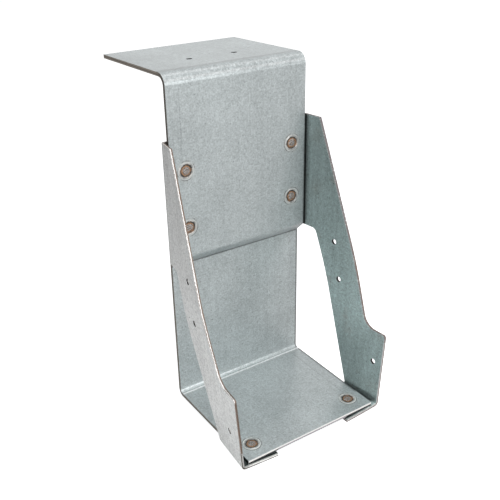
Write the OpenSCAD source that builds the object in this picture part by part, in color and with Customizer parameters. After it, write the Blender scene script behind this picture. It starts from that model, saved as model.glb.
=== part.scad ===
// Welded top-flange joist hanger.
// One folded strap makes the top flange, the back plate and the seat. Two mirror-image side plates
// are spot-welded to it by tabs, behind the back plate and under the seat.
// Frame: +X across the joist, +Y back into the wall, +Z up. The origin is the middle of the joist's
// lower end edge, where the upper back plate's front face would meet the seat's top face.

/* [Strap] */
// Width of the joist, and of the strap that carries it
joist_w = 100; // [75:1:140]
// Height from the seat to the crest of the top bend
hanger_h = 221.4; // [200:0.2:300]
// Reach of the top flange behind the back plate's front face
flange_len = 83; // [55:1:120]
// Droop of the top flange toward its free end
flange_droop = 1.3; // [0:0.1:3]
// Length of the seat in front of the lower back plate
seat_len = 84.4; // [76:0.2:100]
// Thickness of the strap's sheet
strap_t = 2.5; // [1.5:0.1:3.2]
// Inner radius of the top bend
top_bend_r = 4.6; // [1.5:0.1:6]
// Inner radius of the seat bend
seat_bend_r = 2; // [1:0.1:4]

/* [Joggle] */
// How far the lower back plate is set back
joggle_d = 6.5; // [4:0.1:8]
// Height of the set-back plate's upper end above the seat
joggle_z = 98.2; // [90:0.2:102]
// Slope of the joggle from the vertical
joggle_angle = 46; // [35:1:55]
// Inner radius of the joggle's two bends
joggle_r = 1; // [0.5:0.1:2]

/* [Side plates] */
// Thickness of the side plates' sheet
side_t = 1.8; // [1.2:0.1:2.5]
// Inner radius of the side plates' bends
side_bend_r = 1.3; // [0.8:0.1:1.6]
// Height of the side plates' top edge above the seat
side_top_z = 181.6; // [165:0.2:190]
// Height of the step under the back bend
step_z = 103.2; // [98:0.2:112]
// Reach of the step in front of the back plate
step_len = 9.4; // [8:0.2:16]
// Reach of the top edge in front of the back plate
top_len = 10.6; // [9:0.2:18]
// Height of the nose above the seat
nose_z = 49.6; // [42:0.2:58]
// Length of the nose in front of the sloped arm
nose_len = 17.8; // [14:0.1:22]
// Length of the foot where the plate turns under the seat
foot_len = 30; // [24:0.2:34]
// How far the front edge stands proud of the seat
front_proud = 0.9; // [0:0.1:2.5]
// How far the front edge leans back between the foot and the nose
front_rake = 0.6; // [0:0.1:2]
// Fillet between the sloped arm and the nose
arm_fillet = 11; // [6:0.5:14]
// Fillet between the step and the sloped arm
step_fillet = 4; // [2:0.5:6]
// Rounding of the nose corner
nose_round = 2; // [0.5:0.5:4]

/* [Set of the side plates] */
// Outward turn of the upper part about the back bend
toe_out = 7.5; // [5:0.5:10]
// Outward turn of the foot about the vertical
foot_toe = 4.9; // [3:0.1:6]
// Outward lean of the lower part, and droop of the tab under the seat
lean = 4.5; // [2:0.5:6]
// Gap between the seat and the foot's rear end
foot_gap = 1.2; // [1.2:0.1:2.4]
// Gap between the strap's edge and the start of the back bend
edge_gap = 0.5; // [0.1:0.1:0.8]
// Softness of the fold between the upper and the lower part
fold_soft = 1.4; // [0.8:0.1:1.8]

/* [Tabs and welds] */
// Reach of the tabs inside the strap's edges
tab_len = 22; // [18:0.5:30]
// Distance of the welds from the strap's edges
weld_in = 10.5; // [8:0.5:12]
// Height of the lower back weld above the step
weld_rise = 23.1; // [18:0.5:28]
// Distance between the two back welds of one tab
weld_pitch = 37.2; // [28:0.5:42]
// How far the back welds sit above the mean on the right, and below it on the left
weld_stagger = 1.2; // [0:0.1:3]
// Distance of the seat welds behind the seat's front edge
seat_weld_in = 12.2; // [9:0.2:18]
// Diameter of a weld nugget
nugget_d = 6; // [4:0.5:8]
// Diameter of the electrode's mark around a nugget
mark_d = 9.5; // [8.5:0.5:11]
// Depth of the electrode's mark
mark_depth = 0.3; // [0.1:0.1:0.5]

/* [Nail holes] */
// Diameter of the holes in the flange
flange_hole_d = 4; // [3:0.5:8]
// Distance between the holes in the flange
flange_hole_pitch = 32.6; // [20:0.2:50]
// Distance of the flange holes behind the back plate's front face, along the flange
flange_hole_y = 30.8; // [15:0.2:45]
// Diameter of the nail holes in the side plates
nail_d = 4; // [3:0.5:6]
// Distance of the upper nail hole in front of the arm's rear edge
nail_1_in = 16.8; // [12:0.2:20]
// Distance of the upper nail hole below the step
nail_1_drop = 1.6; // [0:0.2:8]
// Distance of the middle nail hole in front of the arm's rear edge
nail_2_in = 13; // [9:0.2:20]
// Distance of the middle nail hole below the step
nail_2_drop = 27.6; // [20:0.2:34]
// Distance of the nose nail holes behind the front edge, on average
nail_3_in = 9.7; // [8.4:0.1:14]
// Height of the nose nail hole above the seat
nail_3_z = 23.1; // [18:0.2:30]
// Stagger of the upper two holes: up on the left plate, down on the right
stagger_arm = 2.6; // [0:0.2:4]
// Stagger of the nose hole: down on the left plate, up on the right
stagger_nose = 4.3; // [0:0.1:6]
// Stagger of the nose hole: back on the left plate, forward on the right
stagger_in = 2.2; // [0:0.1:3]

/* [Hidden] */
$fn = 96;
big = 200;

// Strap
half_w = joist_w / 2;
top_c = [top_bend_r + strap_t, hanger_h - top_bend_r - strap_t];
seat_front = seat_len - joggle_d;
jog_reach = 2 * joggle_r + strap_t;
jog_low_z = joggle_z - joggle_r * tan(joggle_angle / 2);
jog_rise = (jog_reach * (1 - cos(joggle_angle)) + joggle_d * cos(joggle_angle)) / sin(joggle_angle);
jog_run = (joggle_d - jog_reach) * sin(joggle_angle) + jog_rise * cos(joggle_angle);
jog_high_z = jog_low_z + jog_rise;

// Side plate outline, as distances in front of the back plate and heights above the seat
side_front = seat_front + front_proud;
foot_rear = side_front - foot_len;
knee = [side_front - nose_len, nose_z];
arm_slope = (foot_rear - step_len) / step_z;

// Back bend, seen from above
back_c = [half_w + edge_gap, strap_t - side_bend_r];
tab_low_z = max(step_z, jog_high_z + 0.1);

// Upper and lower planes of the side plate's inner face: x = plane[0] + plane[1] * u + plane[2] * z,
// with u the distance in front of the back plate
upper_x = back_c[0] + back_c[1] * tan(toe_out) + side_bend_r / cos(toe_out);
upper_plane = [upper_x, tan(toe_out), 0];
foot_slope = tan(foot_toe);
lower_x = half_w + foot_gap - foot_slope * foot_rear;
lower_plane = [lower_x, foot_slope, tan(lean) / cos(foot_toe)];
fold_steps = 6;
bend_steps = 10;

// Overlap that joins the stretches of one folded sheet
lap = 0.02;

// Foot bend, seen along the foot: s runs square to the foot, z up
foot_s = lower_x * cos(foot_toe);
seat_edge_s = half_w * cos(foot_toe) - foot_rear * sin(foot_toe) + 0.1;
foot_c = foot_centre();

// Weld places
weld_x = half_w - weld_in;
weld_z = [step_z + weld_rise, step_z + weld_rise + weld_pitch];
seat_weld_y = seat_weld_in - seat_front;
seat_nugget_low = tab_under(seat_weld_y) + mark_d / 2 * tan(lean) + mark_depth / 2;

function unit(v) = v / norm(v);

// Centre of the foot bend: one inner radius from the plate's inner line and from the tab's top line
function foot_centre() =
    let (k1 = tan(lean), k2 = tan(lean), r = side_bend_r / cos(lean))
    let (s = (foot_s - r + k1 * (r - strap_t - k2 * seat_edge_s)) / (1 - k1 * k2))
    [s, r - strap_t + k2 * (s - seat_edge_s)];

// Height of the drooping tab's underside at a weld
function tab_under(y) =
    let (s = weld_x * cos(foot_toe) + y * sin(foot_toe))
    -strap_t - (seat_edge_s - s) * tan(lean) - side_t / cos(lean);

// Plane number k of the soft fold, from the upper plane at 0 to the lower plane at 1
function fold_plane(k) =
    (1 - k) * upper_plane + k * lower_plane - [fold_soft * k * (1 - k), 0, 0];

// Points of an arc from angle a0 to angle a1
function arc(c, r, a0, a1) =
    [for (i = [0 : bend_steps]) let (a = a0 + (a1 - a0) * i / bend_steps) c + r * [cos(a), sin(a)]];

// Points of the arc that rounds the corner p, whose edges leave along d1 and d2
function rounded(p, d1, d2, r) =
    let (half = acos(unit(d1) * unit(d2)) / 2)
    let (c = p + unit(unit(d1) + unit(d2)) * r / sin(half))
    let (v1 = p + unit(d1) * r / tan(half) - c, v2 = p + unit(d2) * r / tan(half) - c)
    let (a = atan2(v1[1], v1[0]), turn = sign(v1[0] * v2[1] - v1[1] * v2[0]))
    arc(c, r, a, a + turn * (180 - 2 * half));

// The arm's rear edge at a height
function arm_rear(z) = step_len + (step_z - z) * arm_slope;

// Sector of a bent sheet, from angle a0 to angle a1 around c
module bend(c, r_in, t, a0, a1) {
    reach = 3 * (r_in + t);
    mid = (a0 + a1) / 2;
    translate(c) intersection() {
        difference() {
            circle(r_in + t);
            circle(r_in);
        }
        polygon([[0, 0], for (a = [a0, mid, a1]) reach * [cos(a), sin(a)]]);
    }
}

// Straight stretch of sheet between two bends, from p along direction a, with its thickness to the left
module strip(p, a, len, t) {
    translate(p) rotate(a) translate([-lap, 0]) square([len + 2 * lap, t]);
}

// Extrudes a section drawn in Y and Z along X, centred on the origin
module along_x(len) {
    rotate([90, 0, 90]) linear_extrude(len, center = true) children();
}

// Side view of the strap
module strap_section() {
    flange_up = [sin(flange_droop), cos(flange_droop)];
    flange_run = (flange_len - top_c[0] * (1 + flange_up[0])) / flange_up[1];
    seat_c = [joggle_d - seat_bend_r, seat_bend_r];
    high_c = [strap_t + joggle_r, jog_high_z];
    low_c = [joggle_d - joggle_r, jog_low_z];
    slope = [cos(joggle_angle), sin(joggle_angle)];
    strip(top_c + top_bend_r * flange_up, -flange_droop, flange_run - lap, strap_t);
    bend(top_c, top_bend_r, strap_t, 90 - flange_droop, 180);
    strip([0, top_c[1]], -90, top_c[1] - jog_high_z, strap_t);
    bend(high_c, joggle_r, strap_t, 180, 180 + joggle_angle);
    strip(high_c - (joggle_r + strap_t) * slope, joggle_angle - 90, jog_run, strap_t);
    bend(low_c, joggle_r, strap_t, 0, joggle_angle);
    strip([joggle_d, jog_low_z], -90, jog_low_z - seat_bend_r, strap_t);
    bend(seat_c, seat_bend_r, strap_t, -90, 0);
    translate([-seat_front, -strap_t]) square([seat_front + seat_c[0] + lap, strap_t]);
}

// Places its children at the back welds of one side, with +Z pointing back; up is 1 for raised welds
// and -1 for lowered ones
module at_back_welds(side, up) {
    for (z = weld_z) translate([side * weld_x, 0, z + up * weld_stagger]) rotate([-90, 0, 0]) children();
}

// Places its children at the seat welds, with +Z up
module at_seat_welds(sides) {
    for (side = sides) translate([side * weld_x, seat_weld_y, 0]) children();
}

// Flange, back plate and seat, folded from one strip
module strap() {
    color([0.72, 0.74, 0.75]) difference() {
        along_x(joist_w) strap_section();
        translate([0, top_c[0], top_c[1]]) rotate([-flange_droop, 0, 0])
            for (side = [-1, 1]) translate([side * flange_hole_pitch / 2, flange_hole_y - top_c[0], 0])
                cylinder(d = flange_hole_d, h = top_bend_r + 2 * strap_t);
        for (side = [-1, 1]) at_back_welds(side, side) {
            cylinder(d = nugget_d, h = 3 * strap_t);
            translate([0, 0, -1]) cylinder(d = mark_d, h = 1 + mark_depth);
        }
        at_seat_welds([-1, 1]) {
            translate([0, 0, -2 * strap_t]) cylinder(d = nugget_d, h = 3 * strap_t);
            translate([0, 0, -mark_depth]) cylinder(d = mark_d, h = 2);
        }
    }
}

// Side view of a side plate, drawn with u to the right and z up. It runs on past both bends.
module side_outline() {
    arm_dir = [foot_rear - step_len, -step_z];
    slope_dir = knee - [top_len, side_top_z];
    front_dir = [-front_rake / nose_z, 1];
    polygon([
        [-big, step_z],
        each rounded([step_len, step_z], [-1, 0], arm_dir, step_fillet),
        [foot_rear, 0],
        [foot_rear, -big],
        [side_front, 0] - big * front_dir,
        each rounded([side_front, 0] + nose_z * front_dir, -front_dir, [-1, 0], nose_round),
        each rounded(knee, [1, 0], -slope_dir, arm_fillet),
        each rounded([top_len, side_top_z], slope_dir, [-1, 0], 1),
        [-big, side_top_z]
    ]);
}

// Everything inside a plane given as [x, slope along u, slope along z], moved out by t
module inside(plane, t) {
    turn = atan(plane[1]);
    tip = atan(plane[2] * cos(turn));
    translate([plane[0], 0, 0]) rotate([0, tip, turn])
        translate([t - big, -big, -big]) cube([big, 2 * big, 2 * big]);
}

// Room in front of the back tab and inside the upper plane, with the back bend, grown by t
module back_room(t) {
    r = side_bend_r + t;
    corner = arc(back_c, r, 90, toe_out);
    translate([0, 0, -big]) linear_extrude(2 * big)
        polygon([
            [-big, back_c[1] + r],
            each corner,
            corner[bend_steps] + big * [sin(toe_out), -cos(toe_out)],
            [-big, -big]
        ]);
}

// Room above the seat tab and inside the lower plane, with the foot bend, grown by t
module foot_room(t) {
    corner = arc(foot_c, side_bend_r + t, lean - 90, -lean);
    rotate([90, 0, foot_toe]) linear_extrude(2 * big, center = true)
        polygon([
            corner[0] - big * [cos(lean), sin(lean)],
            each corner,
            corner[bend_steps] + big * [sin(lean), cos(lean)],
            [-big, big]
        ]);
}

// Room inside the whole side plate, grown by t
module side_room(t) {
    intersection() {
        back_room(t);
        foot_room(t);
        intersection_for (i = [1 : fold_steps - 1]) inside(fold_plane(i / fold_steps), t);
    }
}

// Folded sheet of the right-hand side plate, before its holes
module side_sheet() {
    intersection() {
        translate([half_w - tab_len, 0, 0]) rotate([90, 0, 90]) mirror([1, 0, 0])
            linear_extrude(2 * tab_len) side_outline();
        difference() {
            side_room(side_t);
            side_room(0);
            translate([-edge_gap / 2, 0, tab_low_z - big]) cube([half_w + edge_gap, big, big]);
        }
    }
}

// Right-hand side plate; stagger is 1 for raised arm holes and lowered welds, and -1 for the opposite
module side_plate(stagger) {
    z1 = step_z - nail_1_drop + stagger * stagger_arm;
    z2 = step_z - nail_2_drop + stagger * stagger_arm;
    z3 = nail_3_z - stagger * stagger_nose;
    nails = [
        [arm_rear(step_z - nail_1_drop) + nail_1_in, z1],
        [arm_rear(step_z - nail_2_drop) + nail_2_in, z2],
        [side_front - nail_3_in - stagger * stagger_in, z3]
    ];
    difference() {
        side_sheet();
        for (p = nails) translate([half_w - 20, -p[0], p[1]]) rotate([0, 90, 0]) cylinder(d = nail_d, h = 60);
        at_back_welds(1, -stagger) {
            cylinder(d = nugget_d, h = strap_t + 2 * side_t);
            translate([0, 0, strap_t + side_t - mark_depth]) cylinder(d = mark_d, h = 2);
        }
        at_seat_welds([1]) {
            translate([0, 0, -20]) cylinder(d = nugget_d, h = 20);
            translate([0, 0, seat_nugget_low - 5]) cylinder(d = mark_d, h = 5);
        }
    }
}

module right_side_plate() {
    color([0.60, 0.63, 0.62]) side_plate(-1);
}

module left_side_plate() {
    color([0.74, 0.74, 0.72]) mirror([1, 0, 0]) side_plate(1);
}

// Fused metal that joins each back tab to the back plate
module back_spot_welds() {
    color([0.45, 0.42, 0.38]) for (side = [-1, 1]) at_back_welds(side, side)
        translate([0, 0, mark_depth]) cylinder(d = nugget_d, h = strap_t + side_t - 2 * mark_depth);
}

// Fused metal that joins each seat tab to the seat
module seat_spot_welds() {
    color([0.45, 0.42, 0.38]) at_seat_welds([-1, 1])
        translate([0, 0, seat_nugget_low]) cylinder(d = nugget_d, h = -mark_depth - seat_nugget_low);
}

strap();
left_side_plate();
right_side_plate();
back_spot_welds();
seat_spot_welds();
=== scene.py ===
"""Finish, stage and camera of a welded top-flange joist hanger in galvanised sheet steel."""

import math

import bmesh
import bpy
from bpy.props import FloatProperty, FloatVectorProperty, PointerProperty
from mathutils import Matrix, Vector
from mathutils.bvhtree import BVHTree


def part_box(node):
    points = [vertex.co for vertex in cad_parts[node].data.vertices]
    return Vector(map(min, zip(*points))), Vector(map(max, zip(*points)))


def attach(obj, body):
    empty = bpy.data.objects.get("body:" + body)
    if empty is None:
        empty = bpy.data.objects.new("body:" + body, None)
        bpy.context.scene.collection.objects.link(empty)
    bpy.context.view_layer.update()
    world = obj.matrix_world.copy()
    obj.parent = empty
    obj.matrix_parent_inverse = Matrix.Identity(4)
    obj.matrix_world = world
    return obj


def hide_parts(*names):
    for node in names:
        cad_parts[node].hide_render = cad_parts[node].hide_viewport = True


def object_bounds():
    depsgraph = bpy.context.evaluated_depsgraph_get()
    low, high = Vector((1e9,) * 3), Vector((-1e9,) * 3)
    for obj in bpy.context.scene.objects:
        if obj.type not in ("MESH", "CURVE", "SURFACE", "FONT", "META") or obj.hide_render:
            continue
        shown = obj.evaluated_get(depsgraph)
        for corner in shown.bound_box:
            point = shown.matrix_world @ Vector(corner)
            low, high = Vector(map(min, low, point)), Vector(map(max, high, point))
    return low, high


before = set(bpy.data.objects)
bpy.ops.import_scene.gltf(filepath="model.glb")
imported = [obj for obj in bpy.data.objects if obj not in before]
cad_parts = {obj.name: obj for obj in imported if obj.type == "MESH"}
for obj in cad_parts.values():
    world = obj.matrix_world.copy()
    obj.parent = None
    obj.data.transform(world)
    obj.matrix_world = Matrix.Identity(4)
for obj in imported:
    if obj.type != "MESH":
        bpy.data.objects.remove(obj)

bl_info = {
    "name": "Joist hanger",
    "version": (1, 0, 0),
    "blender": (4, 5, 0),
    "location": "3D View > Sidebar > Joist hanger",
    "description": "Galvanised finish, spot welds, stage and camera of a top-flange joist hanger",
    "category": "Object",
}

CAD_LOW, CAD_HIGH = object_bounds()
STRAP_LOW, STRAP_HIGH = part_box("strap")
BACK_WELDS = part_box("back_spot_welds")
SEAT_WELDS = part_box("seat_spot_welds")

# Places of the spot welds, in metres. The right back welds sit higher than the left ones.
NUGGET_R = (SEAT_WELDS[1].y - SEAT_WELDS[0].y) / 2
WELD_X = BACK_WELDS[1].x - NUGGET_R
LEFT_WELD_HEIGHTS = [vert.co.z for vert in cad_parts["back_spot_welds"].data.vertices
                     if vert.co.x < 0]
WELD_MIDDLE = (BACK_WELDS[0].z + BACK_WELDS[1].z) / 2
WELD_RAISE = (BACK_WELDS[1].z - max(LEFT_WELD_HEIGHTS)) / 2
WELD_PITCH = BACK_WELDS[1].z - BACK_WELDS[0].z - 2 * (NUGGET_R + WELD_RAISE)
SEAT_WELD_Y = (SEAT_WELDS[0].y + SEAT_WELDS[1].y) / 2

# Places on the sheets, in metres.
STRAP_T = -STRAP_LOW.z
SEAT_FRONT = STRAP_LOW.y
SEAT_ZONE = 4 * STRAP_T  # below this height the strap is the seat, and above it the back plate
FLANGE_ZONE = 0.205  # above this height the strap bends into the flange
RIGHT_DARK_Z = 0.165  # from here down the strap's right side has its full dark line and painted shade
ROLL_LINE_X = 0.83 * STRAP_HIGH.x  # how far to the side the rolls left their lines
TAB_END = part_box("right_side_plate")[0].x
PLATE_TOP = CAD_HIGH.z - 0.04  # the side plates end at this height
SLOPE_FOOT = 0.048  # a side plate's front edge is upright below this height and slopes above it
FOOT_TOP = 0.009  # below this height a side plate's edge belongs to its foot

USUAL_NOISE = (0.3, 0.7)  # most values of a noise lie between these

# Faces that meet at less than FLAT are joined, edges over SHARP are rounded and edges under SMOOTH
# are shaded smooth.
FLAT, SHARP, SMOOTH = math.radians(0.3), math.radians(50), math.radians(40)

# Slots of a sheet's materials: its two sides, its cut edges and the walls of its holes.
SIDES, EDGES, WALLS = 0, 1, 2

# A weld's face from its middle out: the share of the lip's reach, and how deep the face lies
# there, in heights of the lip.
WELD_FACE = ((0.0, 0.1), (0.25, 0.2), (0.45, 0.5), (0.58, 0.9), (0.66, 1.1), (0.72, 0.8),
             (0.78, -0.2), (0.86, -0.7), (0.92, -0.75), (0.97, -0.4), (1.0, 0.25))
WELD_STEPS = 48  # corners round a weld

FLOOR_HALF = 4.0  # half the floor's width, in metres

# Each lamp's place and width, in metres.
LAMPS = {"key": ((-0.3, -0.6, 1.6), 1.3), "front": ((0.35, -1.7, 0.42), 0.9),
         "rear": ((0.1, -0.1, 1.6), 0.4)}


# ---------------------------------------------------------------------------------- settings


def length(name, description, default):
    return FloatProperty(name=name, description=description, default=default, min=0.0,
                         unit="LENGTH", precision=5)


def color(name, description, default):
    return FloatVectorProperty(name=name, description=description, default=default, size=3,
                               subtype="COLOR", min=0.0, max=1.0)


def share(name, description, default):
    return FloatProperty(name=name, description=description, default=default, min=0.0, max=1.0,
                         subtype="FACTOR")


class SheetSettings(bpy.types.PropertyGroup):
    strap_color: color("Strap zinc", "Colour of the strap's zinc", (0.47, 0.51, 0.515))
    # The inner and outer zinc are a darker, bluer copy and a lighter copy of one zinc: painted
    # shade on the side plates' inner faces and painted light on their outer faces.
    shaded_inner_color: color("Inner zinc", "Zinc on the side plates' inner faces", (0.36, 0.44, 0.435))
    lit_outer_color: color("Outer zinc", "Zinc on the side plates' outer faces", (0.635, 0.645, 0.64))
    smudge_color: color("Smudges", "Smudges on the side plates' inner faces", (0.30, 0.20, 0.16))
    # The clean tab colour is painted light on the part of a foot tab that stands proud of the
    # shade.
    lit_tab_color: color("Clean tab", "Part of a foot tab that stands out of the dirt",
                     (0.80, 0.80, 0.77))
    bright_edge: color("Burnished edge", "Part of a cut edge that the shear has burnished",
                       (0.90, 0.89, 0.87))
    torn_edge: color("Torn edge", "Part of a cut edge that has torn", (0.16, 0.11, 0.085))
    dull_edge: color("Dull edge", "Cut edge dulled by handling", (0.09, 0.078, 0.066))
    grey_edge: color("Grey edge", "Lower half of the seat's front edge", (0.42, 0.40, 0.41))
    rough_edge: color("Rough edge", "The right side plate's cut edge", (0.17, 0.15, 0.15))
    fleck_color: color("Flecks", "Bright flecks in the rough edge", (0.50, 0.48, 0.47))
    upright_edge: color("Upright edge", "The rough edge where it is upright", (0.50, 0.48, 0.48))
    # The hole wall colour is near-black painted shade inside the punched holes.
    hole_shade: color("Hole wall", "Wall of a punched hole", (0.01, 0.01, 0.01))
    # The gap colour is a near-black: painted shade in gaps, creases, corners and over the feet, on
    # the upper plate and the strap's right side, a painted dark reflection at the side plates' back
    # bend, and the strap's dark lines.
    gap_color: color("Gap", "Torn steel and dirt beside a narrow gap", (0.012, 0.012, 0.012))
    joggle_z: length("Joggle", "Height of the joggle's lower bend", 0.0979)
    top_bend: length("Top bend", "Outer radius of the strap's top bend", 0.0071)
    # The seat line is a painted highlight near the seat's back bend.
    seat_highlight: length("Seat line", "Line that the press left on the seat, behind the upper back"
                      " plate's face", 0.0033)
    bend_y: length("Back bend", "Where the side plates' back bend ends, behind the back plate",
                   0.0012)
    grain: length("Grain", "Size of the zinc's mottling", 0.0011)
    relief: length("Relief", "Depth of the zinc's mottling", 0.00003)
    streak: length("Streak width", "Width of the rolling streaks", 0.0022)
    edge_round: length("Edge rounding", "Rounding of the sheared edges", 0.0002)
    thickest: length("Thickest sheet", "A face with more metal than this behind it is a cut edge",
                     0.003)
    widest_hole: length("Widest hole", "A cut face this near to another is a hole's wall", 0.0062)
    grain_swing: share("Mottling", "How much the mottling changes the zinc's lightness", 0.26)
    spangle_swing: share("Spangle", "How much one zinc crystal differs from the next", 0.08)
    cloud_swing: share("Clouds", "How much the cloudy patches change the zinc's lightness", 0.07)
    strap_streaks: share("Strap streaks", "How much the rolling streaks change the strap", 0.035)
    side_streaks: share("Side streaks", "How much the rolling streaks change the side plates",
                        0.08)
    metallic: share("Metal", "How far the zinc mirrors light as bare metal does", 0.55)
    roughness: share("Roughness", "Mean roughness of the zinc", 0.35)


class WeldSettings(bpy.types.PropertyGroup):
    lip_reach: length("Lip reach", "Outer radius of the metal pushed up round a weld", 0.0052)
    lip_height: length("Lip height", "How far that metal stands proud of the sheet", 0.00018)
    nugget_color: color("Nugget", "Middle of a weld", (0.50, 0.475, 0.46))
    rust_color: color("Heat ring", "Brown ring round the middle of a weld", (0.32, 0.18, 0.10))
    burnt_color: color("Burnt ring", "Dark ring of a weld", (0.06, 0.055, 0.05))
    pressed_color: color("Pressed zinc", "Zinc pressed flat round a weld", (0.86, 0.87, 0.85))
    mark: length("Mark", "Radius of the electrode's mark", 0.0061)
    halo: length("Halo", "Reach of the dulled zinc round a weld", 0.0085)
    halo_color: color("Halo colour", "Dulled zinc round a weld", (0.62, 0.60, 0.56))


class StageSettings(bpy.types.PropertyGroup):
    floor_color: color("Floor", "Colour of the floor", (0.85, 0.85, 0.85))
    floor_glow: share("Floor's glow", "Light that the camera sees the floor give off", 0.92)
    mirrored_glow: share("Mirrored glow", "Light that reflections see the floor give off", 0.2)
    ambient: FloatProperty(name="Ambient light", description="Strength of the even light",
                           default=0.05)
    front_power: FloatProperty(name="Front light", description="Power of the front lamp",
                               default=9.8)
    key_power: FloatProperty(name="Key light", description="Power of the broad lamp over the front",
                             default=17.2)
    rear_power: FloatProperty(name="Rear light", default=4.0,
                              description="Power of the small lamp over the back")
    focal_length: FloatProperty(name="Focal length", default=52.6,
                                description="Lens of the camera, in millimetres")
    azimuth: FloatProperty(name="Azimuth", description="Direction of the camera round the hanger",
                           default=math.radians(-33.484), subtype="ANGLE")
    elevation: FloatProperty(name="Elevation", description="Height of the camera above the horizon",
                             default=math.radians(26.069), subtype="ANGLE")
    roll: FloatProperty(name="Roll", description="Tilt of the camera",
                        default=math.radians(-1.044), subtype="ANGLE")
    distance: length("Distance", "Distance of the camera", 0.48041)
    aim_height: length("Aim height", "Height that the camera looks at", 0.110)
    slide_right: FloatProperty(name="Slide right", description="Camera's shift to its right",
                               default=0.004661, unit="LENGTH", precision=5)
    slide_up: FloatProperty(name="Slide up", description="Camera's shift upward",
                            default=-0.01059, unit="LENGTH", precision=5)


# ------------------------------------------------------------------------------ shader helpers


class Nodes:
    """Adds nodes to a tree by short calls. A value is a number, a tuple or a socket."""

    def __init__(self, tree):
        self.tree = tree

    def add(self, kind, inputs=None, **settings):
        made = self.tree.nodes.new(kind)
        for name, value in settings.items():
            setattr(made, name, value)
        for key, value in (inputs or {}).items():
            self.feed(made.inputs[key], value)
        return made

    def feed(self, socket, value):
        if isinstance(value, bpy.types.NodeSocket):
            self.tree.links.new(value, socket)
        elif socket.type == "RGBA" and len(value) == 3:
            socket.default_value = (*value, 1.0)
        else:
            socket.default_value = value

    def math(self, operation, a, b=0.0, c=0.0):
        return self.add("ShaderNodeMath", {0: a, 1: b, 2: c}, operation=operation).outputs[0]

    def total(self, first, *others):
        for other in others:
            first = self.math("ADD", first, other)
        return first

    def product(self, first, *others):
        for other in others:
            first = self.math("MULTIPLY", first, other)
        return first

    def largest(self, first, *others):
        for other in others:
            first = self.math("MAXIMUM", first, other)
        return first

    def minus(self, a, b):
        return self.math("SUBTRACT", a, b)

    def absolute(self, value):
        return self.math("ABSOLUTE", value)

    def below(self, value, limit):
        """1 where the value is below the limit and 0 elsewhere."""
        return self.math("LESS_THAN", value, limit)

    def above(self, value, limit):
        """1 where the value is above the limit and 0 elsewhere."""
        return self.math("GREATER_THAN", value, limit)

    def remap(self, value, low, high, to_low=0.0, to_high=1.0, smooth=False):
        """The value's range from low to high, turned into the range from to_low to to_high."""
        ranged = self.add("ShaderNodeMapRange", {
            "Value": value, "From Min": low, "From Max": high, "To Min": to_low, "To Max": to_high,
        }, interpolation_type="SMOOTHSTEP" if smooth else "LINEAR")
        return ranged.outputs[0]

    def stripe(self, value, middle, core, edge, strength):
        """The strength while the value is within core of the middle, falling to 0 at edge."""
        away = self.absolute(self.minus(value, middle))
        return self.remap(away, core, edge, strength, 0.0, smooth=True)


class Shader(Nodes):
    """Builds one material. Its place, and x, y and z, are in metres in the hanger's own frame."""

    def __init__(self, name):
        self.material = bpy.data.materials.new(name)
        self.material.use_nodes = True
        super().__init__(self.material.node_tree)
        self.tree.nodes.clear()
        self.place = self.add("ShaderNodeTexCoord").outputs["Object"]
        axes = self.add("ShaderNodeSeparateXYZ", {0: self.place}).outputs
        self.x, self.y, self.z = axes[0], axes[1], axes[2]

    def scaled(self, scale):
        """The place, stretched by a scale along each axis."""
        return self.add("ShaderNodeMapping", {"Vector": self.place, "Scale": scale}).outputs[0]

    def attribute(self, name):
        return self.add("ShaderNodeAttribute", attribute_name=name).outputs["Fac"]

    def cells(self, scale):
        """A different grey for each cell of a random pattern."""
        made = self.add("ShaderNodeTexVoronoi", {"Vector": self.place, "Scale": scale})
        return self.add("ShaderNodeSeparateColor", {0: made.outputs["Color"]}).outputs[0]

    def noise(self, scale, detail=2.0, rough=0.5, place=None):
        return self.add("ShaderNodeTexNoise", {
            "Vector": place or self.place, "Scale": scale, "Detail": detail, "Roughness": rough,
        }).outputs[0]

    def spread(self, noise, low, high):
        """A noise whose usual values run from low to high."""
        return self.remap(noise, *USUAL_NOISE, low, high)

    def mix(self, factor, a, b, blend="MIX"):
        mixed = self.add("ShaderNodeMix", data_type="RGBA", blend_type=blend)
        self.feed(mixed.inputs[0], factor)
        self.feed(mixed.inputs[6], a)
        self.feed(mixed.inputs[7], b)
        return mixed.outputs[2]

    def finish(self, surface):
        self.add("ShaderNodeOutputMaterial", {"Surface": surface})
        return self.material

    def metal(self, base, metallic, roughness, height, depth):
        """Ends the material as metal with a bump of the given height signal and depth in metres."""
        bump = self.add("ShaderNodeBump", {"Height": height, "Distance": depth, "Strength": 1.0})
        principled = self.add("ShaderNodeBsdfPrincipled", {
            "Base Color": base, "Metallic": metallic, "Roughness": roughness,
            "Normal": bump.outputs[0],
        })
        return self.finish(principled.outputs[0])


def tinted(color, factor):
    """A colour made lighter or darker by a factor."""
    return tuple(min(1.0, factor * part) for part in color)


# ---------------------------------------------------------------------------------------- zinc


def weld_distance(shader):
    """Distance from the nearest spot weld, on the back plate or on the seat."""
    across = shader.minus(shader.absolute(shader.x), WELD_X)
    side = shader.math("SIGN", shader.x)
    middle = shader.total(shader.product(side, WELD_RAISE), WELD_MIDDLE)
    up = shader.minus(shader.absolute(shader.minus(shader.z, middle)), WELD_PITCH / 2)
    along = shader.minus(shader.y, SEAT_WELD_Y)

    def radius(a, b):
        return shader.math("SQRT", shader.total(shader.product(a, a), shader.product(b, b)))

    on_seat = shader.below(shader.z, SEAT_ZONE)
    return shader.total(shader.product(radius(across, up), shader.minus(1.0, on_seat)),
                        shader.product(radius(across, along), on_seat))


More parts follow.
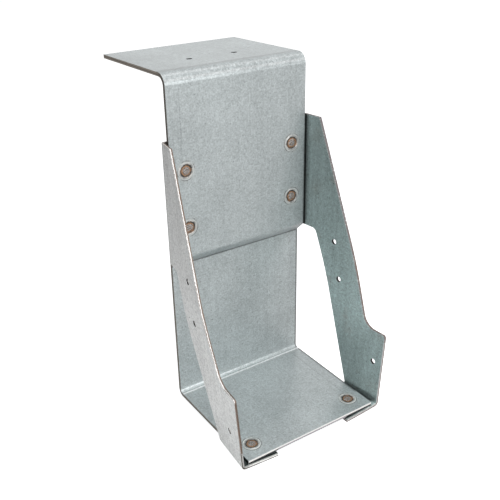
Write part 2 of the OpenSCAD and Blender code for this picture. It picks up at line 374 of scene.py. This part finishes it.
def weld_marks(shader, body, grain, clouds):
    """The body's colour with dulled zinc, pressed pale zinc and a burnt line round each weld, the
    line partly heat tint and partly painted shade of the dimple's wall. The pressed zinc is palest
    on the seat. Also returns the share of dulled zinc."""
    weld = bpy.context.scene.hanger_weld
    distance = shader.total(weld_distance(shader), shader.spread(grain, -0.0002, 0.0002))
    broken = shader.remap(shader.noise(220.0), 0.4, 0.55)
    halo = shader.remap(distance, NUGGET_R, weld.halo, 1.0, 0.0, smooth=True)
    halo = shader.product(halo, shader.remap(clouds, 0.3, 0.6, 0.4, 1.0))
    body = shader.mix(shader.product(halo, 0.4), body, weld.halo_color[:])
    in_mark = shader.remap(distance, weld.mark - 0.0006, weld.mark - 0.0002, 1.0, 0.0, smooth=True)
    pale = shader.remap(shader.z, 0.001, 0.005, 0.95, 0.25)
    body = shader.mix(shader.product(in_mark, pale, broken), body, weld.pressed_color[:])
    # The burnt line is partly heat tint and partly painted shade of the dimple's wall.
    burnt = shader.stripe(distance, weld.mark, 0.0001, 0.0005, 0.6)
    return shader.mix(shader.product(burnt, broken), body, weld.burnt_color[:]), halo


def zinc_sheet(name, paint, streak_scale, streak_swing):
    """Galvanised sheet: mottled zinc with rolling streaks, cloudy patches and the welds' marks.
    paint gives the sheet's plain colour."""
    look = bpy.context.scene.hanger_sheet
    shader = Shader(name)
    grain = shader.noise(1 / look.grain, 3.0, 0.65)
    spangle = shader.cells(0.6 / look.grain)
    clouds = shader.noise(30.0, 3.0, 0.55)
    streaks = shader.noise(1.0, place=shader.scaled(streak_scale))
    value = shader.total(1.0, shader.spread(grain, -look.grain_swing, look.grain_swing),
                         shader.remap(spangle, 0.0, 1.0, -look.spangle_swing, look.spangle_swing),
                         shader.spread(clouds, -look.cloud_swing, look.cloud_swing),
                         shader.spread(streaks, -streak_swing, streak_swing))
    grey = shader.add("ShaderNodeCombineColor", {0: value, 1: value, 2: value}).outputs[0]
    body = shader.mix(1.0, paint(shader), grey, "MULTIPLY")
    body, halo = weld_marks(shader, body, grain, clouds)
    roughness = shader.total(look.roughness, shader.spread(grain, -0.08, 0.08),
                             shader.product(halo, 0.1))
    height = shader.total(grain, shader.product(streaks, 0.4))
    return shader.metal(body, look.metallic, roughness, height, look.relief)


def roll_lines(shader):
    """Faint lines from the rolls: one down the upper plate's left side, and one on the right side
    of the seat and low on the plate behind it."""
    upper = shader.stripe(shader.x, -ROLL_LINE_X, 0.0002, 0.0006, 0.14)
    upper = shader.product(upper, shader.remap(shader.z, 0.155, 0.175),
                           shader.below(shader.z, 0.213))
    lower = shader.stripe(shader.x, ROLL_LINE_X, 0.0, 0.0006, 0.2)
    lower = shader.product(lower, shader.below(shader.z, 0.03),
                           shader.remap(shader.y, -0.062, -0.055))
    return shader.largest(upper, lower)


def right_rim(shader, from_side, below_joggle):
    """The dark line along the strap's right side, wider below the joggle, and painted shade in its
    corner with the side plate above."""
    look = bpy.context.scene.hanger_sheet
    width = shader.remap(below_joggle, 0.0, 1.0, 0.001, 0.0018)
    strength = shader.remap(below_joggle, 0.0, 1.0, 0.35, 0.7)
    rim = shader.remap(from_side, 0.0005, width, strength, 0.0)
    rim = shader.product(rim, shader.remap(shader.z, FLANGE_ZONE, RIGHT_DARK_Z),
                         shader.remap(shader.y, -0.065, -0.06))
    joggle_top = look.joggle_z + 0.006
    # Painted shade in the corner with the side plate.
    corner = shader.product(shader.remap(from_side, 0.0001, 0.0005, 0.3, 0.0),
                            shader.above(shader.z, joggle_top), shader.below(shader.z, PLATE_TOP))
    return shader.largest(rim, corner)


def right_side_shade(shader, from_side, below_joggle):
    """Painted shade toward the strap's right side. It reaches further in toward the seat's front,
    where it fades, and it leaves out the lower back plate."""
    reach = shader.remap(shader.y, -0.045, -0.005, 0.06, 0.02)
    near = shader.minus(1.0, shader.math("DIVIDE", from_side, reach))
    dull_and_shade = shader.product(shader.remap(near, 0.0, 1.0, 0.0, 0.19),
                          shader.remap(shader.z, FLANGE_ZONE, RIGHT_DARK_Z),
                          shader.remap(shader.y, -0.068, -0.045))
    lower_plate = shader.product(shader.above(shader.y, 0.004), below_joggle)
    return shader.product(dull_and_shade, shader.minus(1.0, lower_plate))


def strap_paint(shader):
    """The strap's zinc: painted shade in the joggle's crease, a dark line along the right side with
    painted shade in its corner, painted shade over the upper plate, most at its upper left, and
    toward the right side, and painted light on the front left of the seat. The top bend has two
    painted highlights and a painted shade, and the seat has a painted highlight line near its back
    bend."""
    look = bpy.context.scene.hanger_sheet
    # The near-black here is used for painted shade and for dark lines.
    white, darkness = (1.0, 1.0, 1.0), look.gap_color[:]
    from_side = shader.minus(STRAP_HIGH.x, shader.x)
    below_joggle = shader.below(shader.z, look.joggle_z)
    on_bend = shader.above(shader.z, CAD_HIGH.z - look.top_bend)
    # Painted shade in the joggle's crease.
    crease_shade = shader.stripe(shader.z, look.joggle_z, 0.0002, 0.0009, 0.6)
    dark = shader.largest(roll_lines(shader), crease_shade, right_rim(shader, from_side, below_joggle))
    body = shader.mix(dark, look.strap_color[:], darkness)
    upper_left = shader.product(shader.remap(shader.x, -0.02, -0.048),
                                shader.remap(shader.z, 0.15, 0.18))
    # Painted shade over the upper plate, most at its upper left.
    upper_plate_shade = shader.product(shader.remap(upper_left, 0.0, 1.0, 0.07, 0.15),
                          shader.remap(shader.z, look.joggle_z, look.joggle_z + 0.02))
    body = shader.mix(upper_plate_shade, body, darkness)
    # Painted light on the seat's front left.
    front_left_light = shader.product(shader.remap(shader.y, -0.05, -0.07, 0.0, 0.1),
                                shader.remap(shader.x, 0.02, -0.02))
    body = shader.mix(front_left_light, body, white)
    # Painted shade on the top bend, between its two highlights.
    shade = shader.product(shader.stripe(shader.y, 1.2 * look.top_bend, 0.0, 0.0035, 0.3), on_bend)
    # Painted shade toward the strap's right side and on the top bend.
    dull_and_shade = shader.largest(right_side_shade(shader, from_side, below_joggle), shade)
    body = shader.mix(dull_and_shade, body, darkness)
    # Two painted highlights on the top bend.
    low_glint = shader.stripe(shader.z, CAD_HIGH.z - 0.56 * look.top_bend, 0.0, 0.0012, 0.22)
    low_glint = shader.product(low_glint, shader.below(shader.y, 0.5 * look.top_bend))
    high_glint = shader.stripe(shader.y, 0.42 * look.top_bend, 0.0, 0.0014, 0.14)
    glint = shader.product(shader.largest(low_glint, high_glint), on_bend)
    # A painted highlight line on the seat near its back bend.
    pressed = shader.product(shader.stripe(shader.y, look.seat_highlight, 0.0, 0.0013, 1.0),
                             shader.below(shader.z, 0.2 * STRAP_T))
    return shader.mix(shader.largest(glint, pressed), body, white)


def foot_shade(shader, proud):
    """Painted shade in a wedge over a side plate's foot, higher toward the front: strong on the
    left plate, and on the right one strong only below the seat. The proud part of a tab is left
    out."""
    top = shader.remap(shader.y, -0.050, SEAT_FRONT, 0.0002, 0.0034)
    inside = shader.remap(shader.minus(shader.z, top), -0.0004, 0.0004, 1.0, 0.0)
    full_y = shader.remap(shader.x, 0.045, 0.048, SEAT_FRONT + 0.0008, SEAT_FRONT + 0.004)
    right = shader.product(shader.remap(shader.y, SEAT_FRONT + 0.0003, full_y),
                           shader.remap(shader.z, -0.002, -0.001, 0.85, 0.2))
    left = shader.product(shader.below(shader.x, 0.0), 0.85)
    return shader.product(inside, shader.largest(right, left), shader.minus(1.0, proud))


def side_paint(shader):
    """A side plate's zinc, a lighter copy on the outside and a darker, bluer copy on the inside
    that stand in for light and shade. The outside has painted light toward the foot and a painted
    dark reflection at the back bend. The inside is smudged, with painted light near the bend, at
    mid height and on the nose, painted shade behind the strap's face and over the foot, and painted
    light on a tab's proud part."""
    look = bpy.context.scene.hanger_sheet
    # Painted light on the outside, growing toward the foot.
    outside = shader.mix(shader.remap(shader.z, 0.135, 0.055, smooth=True), look.lit_outer_color[:],
                         tinted(look.lit_outer_color, 1.27))
    # A painted dark reflection at the back bend.
    bend = shader.stripe(shader.y, look.bend_y, 0.0002, 0.0006, 0.45)
    outside = shader.mix(bend, outside, look.gap_color[:])
    # Painted light on the inside at mid height, on the nose and near the back bend.
    mid_height = shader.product(shader.remap(shader.z, 0.16, 0.07),
                                shader.remap(shader.z, 0.03, 0.055))
    on_nose = shader.remap(shader.y, -0.055, -0.07, 0.0, 0.65)
    near_bend = shader.remap(shader.y, -0.012, -0.004, 0.0, 0.3)
    inside = shader.mix(shader.largest(mid_height, on_nose, near_bend), look.shaded_inner_color[:],
                        tinted(look.shaded_inner_color, 1.4))
    # Painted shade behind the strap's face.
    inside = shader.mix(shader.remap(shader.y, 0.0, 0.0006, 0.0, 0.85), inside, look.gap_color[:])
    smudge = shader.remap(shader.noise(55.0, 3.0, 0.6), 0.58, 0.72, 0.0, 0.22, smooth=True)
    inside = shader.mix(smudge, inside, look.smudge_color[:])
    proud = shader.product(shader.below(shader.z, -0.9 * STRAP_T),
                           shader.below(shader.y, SEAT_FRONT - 0.0001))
    # Painted shade over the foot.
    inside = shader.mix(foot_shade(shader, proud), inside, look.gap_color[:])
    # Painted light on the tab's proud part.
    inside = shader.mix(shader.product(proud, 0.8), inside, look.lit_tab_color[:])
    return shader.mix(shader.attribute("through"), inside, outside)


# ------------------------------------------------------------------ cut edges, holes and welds


def cut_edge(name, paint):
    """Sheared edge. paint gives its colour from the shader and a signal of tears across it."""
    shader = Shader(name)
    tears = shader.noise(1.0, 3.0, 0.6, shader.scaled((420.0, 900.0, 900.0)))
    body = paint(shader, tears)
    return shader.metal(body, 0.5, shader.spread(tears, 0.4, 0.6), tears, 0.00005)


def strap_edge(shader, tears):
    """Dulled along the sides, more evenly so below, with painted shade toward the seat's front, and
    clean with a duller middle on the flange. The front is burnished above and grey below, but
    painted shade makes it dark there over the tabs."""
    look = bpy.context.scene.hanger_sheet
    dull_and_shade = shader.mix(shader.remap(tears, 0.5, 0.7), look.dull_edge[:],
                      tinted(look.dull_edge, 2.2))
    dull_and_shade = shader.mix(shader.remap(shader.z, 0.19, 0.12), dull_and_shade, tinted(look.dull_edge, 1.8))
    middle = shader.stripe(shader.attribute("through"), 0.45, 0.0, 0.3, 0.8)
    clean = shader.mix(middle, tinted(look.dull_edge, 3.6), look.dull_edge[:])
    on_flange = shader.product(shader.remap(shader.y, 0.003, 0.01),
                               shader.above(shader.z, FLANGE_ZONE))
    side = shader.mix(on_flange, dull_and_shade, clean)
    # Painted shade on the side edges toward the seat's front.
    side = shader.mix(shader.remap(shader.y, -0.055, -0.065), side, look.gap_color[:])
    at_tabs = shader.above(shader.absolute(shader.x), TAB_END)
    # Painted shade on the lower half of the front edge over the tabs.
    lower = shader.mix(at_tabs, look.grey_edge[:], look.gap_color[:])
    upper_end = shader.math("MULTIPLY_ADD", at_tabs, 0.13, 0.45)
    front = shader.mix(shader.below(shader.attribute("through"), upper_end), lower,
                       look.bright_edge[:])
    return shader.mix(shader.below(shader.y, SEAT_FRONT + look.edge_round), side, front)


def left_edge(shader, tears):
    """Burnished, with a torn line along the inner side above the foot, widest where the edge is
    upright, and one along the outer side, widest on the foot. The foot's outer corner is darker."""
    look = bpy.context.scene.hanger_sheet
    through = shader.total(shader.attribute("through"), shader.spread(tears, -0.12, 0.12))
    above_foot = shader.above(shader.z, FOOT_TOP)
    inner = shader.below(through, shader.remap(shader.z, SLOPE_FOOT - 0.001, SLOPE_FOOT + 0.001,
                                               0.78, 0.5))
    outer = shader.above(through, shader.remap(shader.z, FOOT_TOP - 0.001, FOOT_TOP + 0.001,
                                               0.58, 0.86))
    torn = shader.largest(outer, shader.product(inner, above_foot))
    shine = shader.largest(shader.remap(shader.absolute(shader.x), 0.0495, 0.051, 1.0, 0.5),
                           shader.product(above_foot, 0.85))
    bright = shader.mix(shine, look.gap_color[:], look.bright_edge[:])
    return shader.mix(torn, bright, shader.mix(above_foot, look.dull_edge[:], look.torn_edge[:]))


def right_edge(shader, tears):
    """Dark with bright flecks, and pale where it is upright, with a torn line low on the outer
    side."""
    look = bpy.context.scene.hanger_sheet
    body = shader.mix(shader.above(tears, 0.62), look.rough_edge[:], look.fleck_color[:])
    body = shader.mix(shader.below(shader.z, SLOPE_FOOT - 0.003), body, look.upright_edge[:])
    torn = shader.product(shader.above(shader.attribute("through"), 0.6),
                          shader.remap(shader.z, 0.12, 0.09))
    return shader.mix(torn, body, look.torn_edge[:])


def punched_wall(name, deep_color):
    """Wall of the punched holes: near-black painted shade near the outer side, with its own colour
    deeper in. That colour reaches further out in the nose."""
    look = bpy.context.scene.hanger_sheet
    shader = Shader(name)
    scratches = shader.noise(900.0)
    deep = shader.below(shader.attribute("through"),
                        shader.remap(shader.y, -0.05, -0.06, 0.5, 0.7))
    # Near-black painted shade near the outer side of the hole's wall.
    body = shader.mix(deep, look.hole_shade[:], deep_color)
    return shader.metal(body, 0.0, shader.spread(scratches, 0.4, 0.6), scratches, 0.00003)


def weld_metal(name):
    """Resistance weld: speckled grey middle, brown heat ring, broken burnt ring, partly painted
    shade of the dimple's wall, and pressed pale zinc round it, by the ring attribute."""
    look = bpy.context.scene.hanger_weld
    shader = Shader(name)
    blotches = shader.noise(900.0, 3.0, 0.7)
    speckles = shader.noise(1700.0, 2.0, 0.6)
    breaks = shader.noise(260.0)
    ring = shader.total(shader.attribute("ring"), shader.spread(blotches, -0.07, 0.07))
    middle = shader.mix(shader.remap(speckles, 0.42, 0.58), look.burnt_color[:],
                        look.nugget_color[:])
    middle = shader.mix(shader.remap(blotches, 0.52, 0.62, 0.0, 0.7), middle, look.rust_color[:])
    body = shader.mix(shader.remap(ring, 0.44, 0.50), middle, look.rust_color[:])
    # The broken burnt ring is partly heat tint and partly painted shade of the dimple's wall.
    burnt = shader.product(shader.remap(ring, 0.59, 0.63),
                           shader.remap(breaks, 0.35, 0.5, 0.45, 1.0))
    body = shader.mix(burnt, body, look.burnt_color[:])
    pressed = shader.product(shader.remap(ring, 0.77, 0.85),
                             shader.remap(breaks, 0.4, 0.55, 0.9, 0.5))
    body = shader.mix(pressed, body, tinted(look.pressed_color, 0.75))
    return shader.metal(body, 0.6, shader.spread(blotches, 0.3, 0.6), blotches, 0.00012)


# -------------------------------------------------------------------------------- mesh helpers


def new_object(name, mesh, materials):
    piece = bpy.data.objects.new(name, mesh)
    bpy.context.scene.collection.objects.link(piece)
    for material in materials:
        piece.data.materials.append(material)
    return piece


def smooth_mesh(bm, name):
    """Turns the bmesh into a mesh that is shaded smooth, and frees it."""
    mesh = bpy.data.meshes.new(name)
    bm.to_mesh(mesh)
    bm.free()
    mesh.shade_smooth()
    return mesh


def sort_faces(bm, facing, skin):
    """Gives each face its material slot: a face with little metal behind it is on one of the two
    sides, a cut face near another is a hole's wall. Returns a search tree of each side, first the
    one whose normals agree with facing. skin is the gap left between a face and a search."""
    look = bpy.context.scene.hanger_sheet
    tree = BVHTree.FromBMesh(bm)
    bm.verts.index_update()
    sides = ([], [])
    for face in bm.faces:
        middle = face.calc_center_median()
        behind = tree.ray_cast(middle - face.normal * skin, -face.normal)[3]
        ahead = tree.ray_cast(middle + face.normal * skin, face.normal)[3]
        if behind is not None and behind <= look.thickest:
            face.material_index = SIDES
            side = sides[0 if face.normal.dot(facing) > 0 else 1]
            side.append([vert.index for vert in face.verts])
        elif ahead is not None and ahead < look.widest_hole:
            face.material_index = WALLS
        else:
            face.material_index = EDGES
    places = [vert.co.copy() for vert in bm.verts]
    return [BVHTree.FromPolygons(places, side) for side in sides]


def sheared_sheet(node, name, materials, facing):
    """A node's sheet with its sheared edges rounded. The attribute "through" runs from 0, on the
    side whose normals agree with facing, to 1 on the other side."""
    look = bpy.context.scene.hanger_sheet
    skin = look.edge_round / 100
    bm = bmesh.new()
    bm.from_mesh(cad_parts[node].data)
    bmesh.ops.remove_doubles(bm, verts=bm.verts[:], dist=skin)
    bmesh.ops.dissolve_degenerate(bm, edges=bm.edges[:], dist=skin)
    bmesh.ops.recalc_face_normals(bm, faces=bm.faces[:])
    first, second = sort_faces(bm, facing, skin)
    bmesh.ops.dissolve_limit(bm, angle_limit=FLAT, verts=bm.verts[:], edges=bm.edges[:],
                             delimit={"MATERIAL"})
    sharp = [edge for edge in bm.edges
             if len(edge.link_faces) == 2 and edge.calc_face_angle(0.0) > SHARP]
    bmesh.ops.bevel(bm, geom=sharp, offset=look.edge_round, offset_type="OFFSET", segments=2,
                    profile=0.5, affect="EDGES", clamp_overlap=True, material=SIDES)
    through = bm.verts.layers.float.new("through")
    for vert in bm.verts:
        near, far = first.find_nearest(vert.co)[3], second.find_nearest(vert.co)[3]
        vert[through] = near / (near + far)
    mesh = smooth_mesh(bm, name)
    mesh.set_sharp_from_angle(angle=SMOOTH)
    piece = new_object(name, mesh, materials)
    flatten = piece.modifiers.new("Flat faces", "WEIGHTED_NORMAL")
    flatten.keep_sharp = True
    return piece


def out_of_round(angle, phase):
    """A weld's radius at an angle, as a factor of its mean radius."""
    return 1 + 0.025 * math.sin(2 * angle + phase) + 0.018 * math.sin(5 * angle + 3 * phase)


def weld_button(bm, ring_layer, place, depth, phase):
    """One spot weld through both sheets. place turns its axis onto the object's, and depth is the
    distance along it from one face to the other. The layer holds the share of the lip's reach."""
    look = bpy.context.scene.hanger_weld
    near = [(ring, ring * look.lip_reach, sink * look.lip_height) for ring, sink in WELD_FACE]
    far = [(ring, radius, depth - sink) for ring, radius, sink in reversed(near)]
    grid = []
    for ring, radius, sink in near + far:
        row = []
        for step in range(WELD_STEPS if radius else 1):
            angle = math.tau * step / WELD_STEPS
            reach = radius * out_of_round(angle, phase)
            vert = bm.verts.new(place @ Vector((reach * math.cos(angle), reach * math.sin(angle),
                                                sink)))
            vert[ring_layer] = ring
            row.append(vert)
        grid.append(row)
    for inner, outer in zip(grid, grid[1:]):
        for step in range(WELD_STEPS):
            after = (step + 1) % WELD_STEPS
            if len(inner) == 1:
                bm.faces.new((inner[0], outer[step], outer[after]))
            elif len(outer) == 1:
                bm.faces.new((inner[step], outer[0], inner[after]))
            else:
                bm.faces.new((inner[step], outer[step], outer[after], inner[after]))


def weld_piece(name, places, depth, material):
    """One piece with all the spot welds at the given places, each turned unlike the others."""
    bm = bmesh.new()
    ring_layer = bm.verts.layers.float.new("ring")
    for number, place in enumerate(places):
        weld_button(bm, ring_layer, place, depth, phase=1.3 + 2.1 * number)
    bmesh.ops.recalc_face_normals(bm, faces=bm.faces[:])
    return new_object(name, smooth_mesh(bm, name), [material])


# --------------------------------------------------------------------------------------- stage


def floor_material(look):
    """White to the camera, except for the hanger's shadow, and pale in reflections."""
    shader = Shader("floor")
    path = shader.add("ShaderNodeLightPath").outputs
    mirrored = shader.largest(path["Is Glossy Ray"], path["Is Transmission Ray"])
    glow = shader.largest(shader.product(path["Is Camera Ray"], look.floor_glow),
                          shader.product(mirrored, look.mirrored_glow))
    principled = shader.add("ShaderNodeBsdfPrincipled", {
        "Base Color": look.floor_color[:], "Roughness": 1.0, "Emission Color": (1.0, 1.0, 1.0),
        "Emission Strength": glow, "Specular IOR Level": 0.0,
    })
    return shader.finish(principled.outputs[0])


def add_floor(look):
    ground = CAD_LOW.z
    corners = [(-FLOOR_HALF, -FLOOR_HALF, ground), (FLOOR_HALF, -FLOOR_HALF, ground),
               (FLOOR_HALF, FLOOR_HALF, ground), (-FLOOR_HALF, FLOOR_HALF, ground)]
    mesh = bpy.data.meshes.new("floor")
    mesh.from_pydata(corners, [], [(0, 1, 2, 3)])
    return new_object("floor", mesh, [floor_material(look)])


def white_world(ambient):
    """White to the camera and in reflections. It lights the hanger by the ambient strength."""
    world = bpy.data.worlds.new("studio")
    bpy.context.scene.world = world
    world.use_nodes = True
    nodes = Nodes(world.node_tree)
    path = nodes.add("ShaderNodeLightPath").outputs
    seen = nodes.largest(path["Is Camera Ray"], path["Is Glossy Ray"], path["Is Transmission Ray"])
    background = nodes.tree.nodes["Background"]
    nodes.feed(background.inputs["Color"], (1.0, 1.0, 1.0))
    nodes.feed(background.inputs["Strength"], nodes.remap(seen, 0.0, 1.0, ambient, 1.0))


def soft_lamp(name, place, target, width, power):
    data = bpy.data.lights.new(name, "AREA")
    data.shape = "DISK"
    data.size = width
    data.energy = power
    lamp = bpy.data.objects.new(name, data)
    bpy.context.scene.collection.objects.link(lamp)
    lamp.location = place
    lamp.rotation_euler = (target - Vector(place)).to_track_quat("-Z", "Y").to_euler()


def add_camera(look):
    data = bpy.data.cameras.new("camera")
    data.lens = look.focal_length
    data.sensor_width = 36.0
    data.clip_start = 0.01
    back = Vector((math.sin(look.azimuth) * math.cos(look.elevation),
                   -math.cos(look.azimuth) * math.cos(look.elevation), math.sin(look.elevation)))
    right = (-back).cross(Vector((0, 0, 1))).normalized()
    up = right.cross(-back)
    across = right * math.cos(look.roll) + up * math.sin(look.roll)
    above = up * math.cos(look.roll) - right * math.sin(look.roll)
    place = Vector((0, 0, look.aim_height)) + back * look.distance
    place += across * look.slide_right + above * look.slide_up
    holder = bpy.data.objects.new("camera", data)
    bpy.context.scene.collection.objects.link(holder)
    turn = Matrix((across, above, back)).transposed().to_4x4()
    holder.matrix_world = Matrix.Translation(place) @ turn
    bpy.context.scene.camera = holder


# ----------------------------------------------------------------------------------- operators


class HANGER_OT_strap(bpy.types.Operator):
    """Dress the strap that is folded into flange, back plate and seat"""

    bl_idname = "hanger.strap"
    bl_label = "Strap"

    def execute(self, context):
        look = context.scene.hanger_sheet
        across, along = 1 / look.streak, 5.0
        zinc = zinc_sheet("strap_zinc", strap_paint, (across, along, along), look.strap_streaks)
        wall = punched_wall("strap_holes", look.hole_shade[:])
        materials = [zinc, cut_edge("strap_edge", strap_edge), wall]
        piece = sheared_sheet("strap", "strap_sheet", materials, facing=Vector((0.0, -1.0, 0.5)))
        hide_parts("strap")
        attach(piece, "root")
        return {"FINISHED"}


class HANGER_OT_side_plates(bpy.types.Operator):
    """Dress both side plates"""

    bl_idname = "hanger.side_plates"
    bl_label = "Side plates"

    def execute(self, context):
        look = context.scene.hanger_sheet
        across, along = 1 / look.streak, 9.0
        zinc = zinc_sheet("side_plate_zinc", side_paint, (across, across, along),
                          look.side_streaks)
        # The left holes' deeper wall gets the burnished edge's near-white as painted light, and the
        # right holes' deeper wall stays in painted shade.
        for side, paint, inward, deep in (("left", left_edge, 1.0, look.bright_edge[:]),
                                          ("right", right_edge, -1.0, look.hole_shade[:])):
            node = f"{side}_side_plate"
            wall = punched_wall(f"{side}_holes", deep)
            materials = [zinc, cut_edge(f"{side}_edge", paint), wall]
            piece = sheared_sheet(node, f"{side}_side_sheet", materials,
                                  facing=Vector((inward, -1.0, 1.0)))
            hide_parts(node)
            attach(piece, "root")
        return {"FINISHED"}


class HANGER_OT_spot_welds(bpy.types.Operator):
    """Make the spot welds that hold the side plates to the strap"""

    bl_idname = "hanger.spot_welds"
    bl_label = "Spot welds"

    def execute(self, context):
        metal = weld_metal("weld_metal")
        back_axis = Matrix.Rotation(math.radians(-90), 4, "X")
        back_places = [Matrix.Translation((side * WELD_X, 0.0, WELD_MIDDLE + side * WELD_RAISE
                                           + above * WELD_PITCH / 2)) @ back_axis
                       for side in (-1, 1) for above in (-1, 1)]
        seat_axis = Matrix.Rotation(math.radians(180), 4, "X")
        seat_places = [Matrix.Translation((side * WELD_X, SEAT_WELD_Y, 0.0)) @ seat_axis
                       for side in (-1, 1)]
        back_depth = BACK_WELDS[0].y + BACK_WELDS[1].y
        seat_depth = -SEAT_WELDS[0].z - SEAT_WELDS[1].z
        for node, places, depth in (("back_spot_welds", back_places, back_depth),
                                    ("seat_spot_welds", seat_places, seat_depth)):
            piece = weld_piece(node.replace("spot", "pressed"), places, depth, metal)
            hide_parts(node)
            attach(piece, "root")
        return {"FINISHED"}


class HANGER_OT_stage(bpy.types.Operator):
    """Make the floor, the soft light and the camera"""

    bl_idname = "hanger.stage"
    bl_label = "Stage"

    def execute(self, context):
        look = context.scene.hanger_stage
        floor = add_floor(look)
        white_world(look.ambient)
        middle = (CAD_LOW + CAD_HIGH) / 2
        powers = {"key": look.key_power, "front": look.front_power, "rear": look.rear_power}
        for name, power in powers.items():
            place, width = LAMPS[name]
            soft_lamp(f"{name}_lamp", place, middle, width, power)
        add_camera(look)
        context.scene.view_settings.view_transform = "Standard"
        return {"FINISHED"}


class HANGER_PT_panel(bpy.types.Panel):
    """Lists the hanger's steps and settings"""

    bl_idname = "HANGER_PT_panel"
    bl_label = "Joist hanger"
    bl_space_type = "VIEW_3D"
    bl_region_type = "UI"
    bl_category = "Joist hanger"

    def draw(self, context):
        layout = self.layout
        for operator in OPERATORS:
            layout.operator(operator.bl_idname)
        for group in SETTINGS:
            settings = getattr(context.scene, group)
            box = layout.box()
            for name in settings.__annotations__:
                box.prop(settings, name)


OPERATORS = (HANGER_OT_strap, HANGER_OT_side_plates, HANGER_OT_spot_welds, HANGER_OT_stage)
SETTINGS = {"hanger_sheet": SheetSettings, "hanger_weld": WeldSettings,
            "hanger_stage": StageSettings}


def register():
    for settings in SETTINGS.values():
        bpy.utils.register_class(settings)
    for name, settings in SETTINGS.items():
        setattr(bpy.types.Scene, name, PointerProperty(type=settings))
    for panel_or_operator in (*OPERATORS, HANGER_PT_panel):
        bpy.utils.register_class(panel_or_operator)


def unregister():
    for panel_or_operator in reversed((*OPERATORS, HANGER_PT_panel)):
        bpy.utils.unregister_class(panel_or_operator)
    for name, settings in SETTINGS.items():
        delattr(bpy.types.Scene, name)
        bpy.utils.unregister_class(settings)


def main():
    register()
    bpy.ops.hanger.strap()
    bpy.ops.hanger.side_plates()
    bpy.ops.hanger.spot_welds()
    bpy.ops.hanger.stage()


if __name__ == "__main__":
    main()
